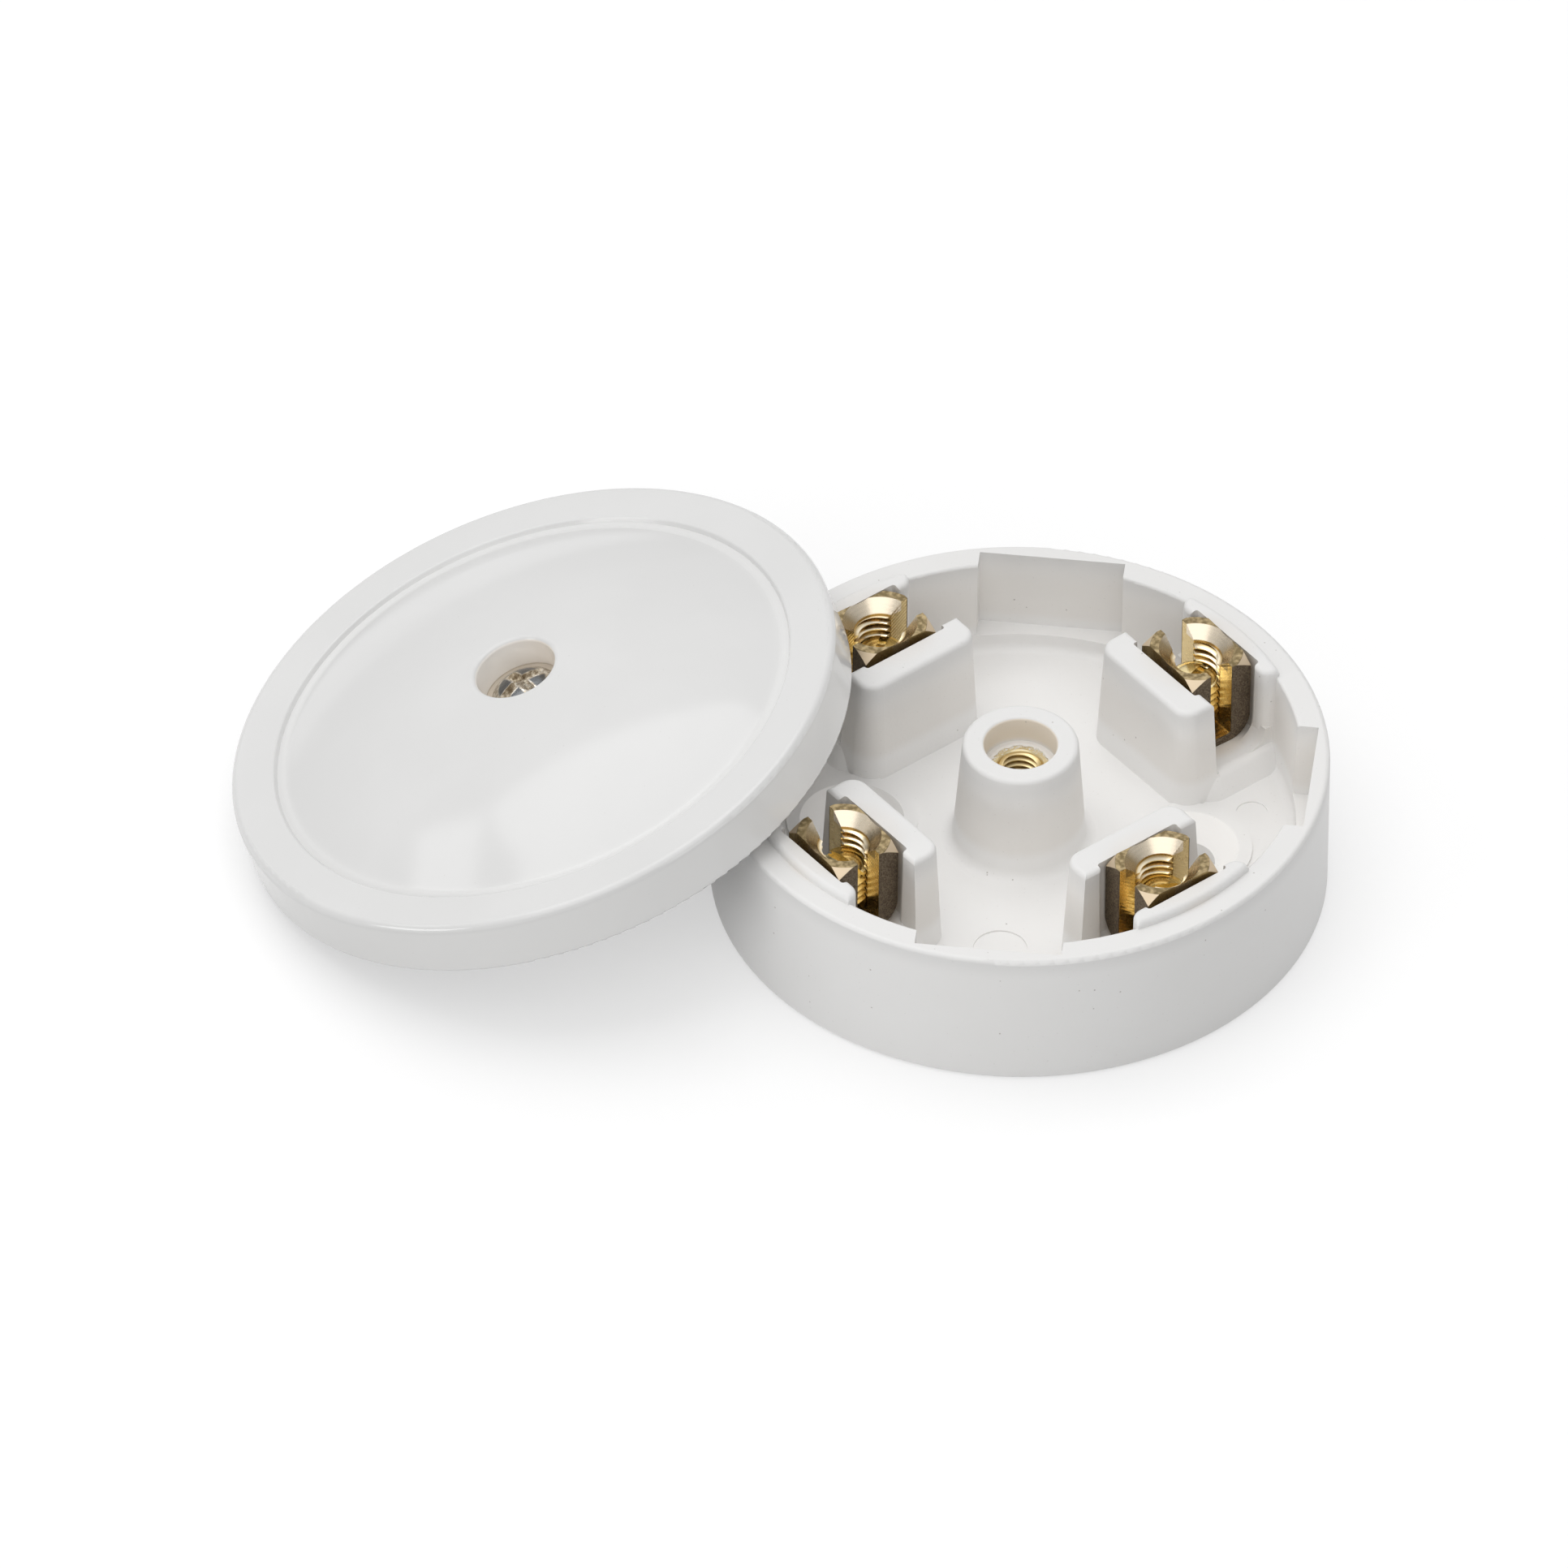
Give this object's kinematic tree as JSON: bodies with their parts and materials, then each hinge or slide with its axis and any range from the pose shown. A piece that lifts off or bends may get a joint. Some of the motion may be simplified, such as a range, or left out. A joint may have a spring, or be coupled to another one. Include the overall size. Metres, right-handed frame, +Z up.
{
  "type": "junction box",
  "caption": "Round surface junction box with brass screw terminals round a central boss, its domed cover taken off and leaning on the rim.",
  "frame": {"origin": "centre of the base's underside, on the axis of the screw boss", "axes": "+Z up out of the open base, +X along the line of the fixing holes, away from the leaning cover"},
  "size_m": [0.105, 0.0607, 0.0247],
  "materials": {
    "base_plastic": "satin",
    "cover_plastic": "gloss",
    "terminal_brass": "satin",
    "screw_brass": "polished",
    "insert_brass": "satin",
    "plated_screw": "polished"
  },
  "bodies": {
    "box": {"base": "base_plastic", "boss_insert": "insert_brass", "cover": "cover_plastic", "terminal_front_right": "terminal_brass", "terminal_back_right": "terminal_brass", "terminal_back_left": "terminal_brass", "terminal_front_left": "terminal_brass"},
    "cover_screw": {"cover_screw": "plated_screw"},
    "terminal_screw_front_right": {"terminal_screw_front_right": "screw_brass"},
    "terminal_screw_back_right": {"terminal_screw_back_right": "screw_brass"},
    "terminal_screw_back_left": {"terminal_screw_back_left": "screw_brass"},
    "terminal_screw_front_left": {"terminal_screw_front_left": "screw_brass"}
  },
  "joints": [
    {"name": "cover_screw_turn", "type": "hinge", "parent": "box", "child": "cover_screw", "pos_m": [-0.04515, 0.0007, 0.00973], "axis": [-0.3203, -0.0151, 0.9472], "continuous": true},
    {"name": "terminal_screw_front_right_travel", "type": "slide", "parent": "box", "child": "terminal_screw_front_right", "axis": [0, 0, 1], "range_m": [-0.0008, 0.0032]},
    {"name": "terminal_screw_back_right_travel", "type": "slide", "parent": "box", "child": "terminal_screw_back_right", "axis": [0, 0, 1], "range_m": [-0.0008, 0.0032]},
    {"name": "terminal_screw_back_left_travel", "type": "slide", "parent": "box", "child": "terminal_screw_back_left", "axis": [0, 0, 1], "range_m": [-0.0008, 0.0032]},
    {"name": "terminal_screw_front_left_travel", "type": "slide", "parent": "box", "child": "terminal_screw_front_left", "axis": [0, 0, 1], "range_m": [-0.0008, 0.0032]}
  ]
}
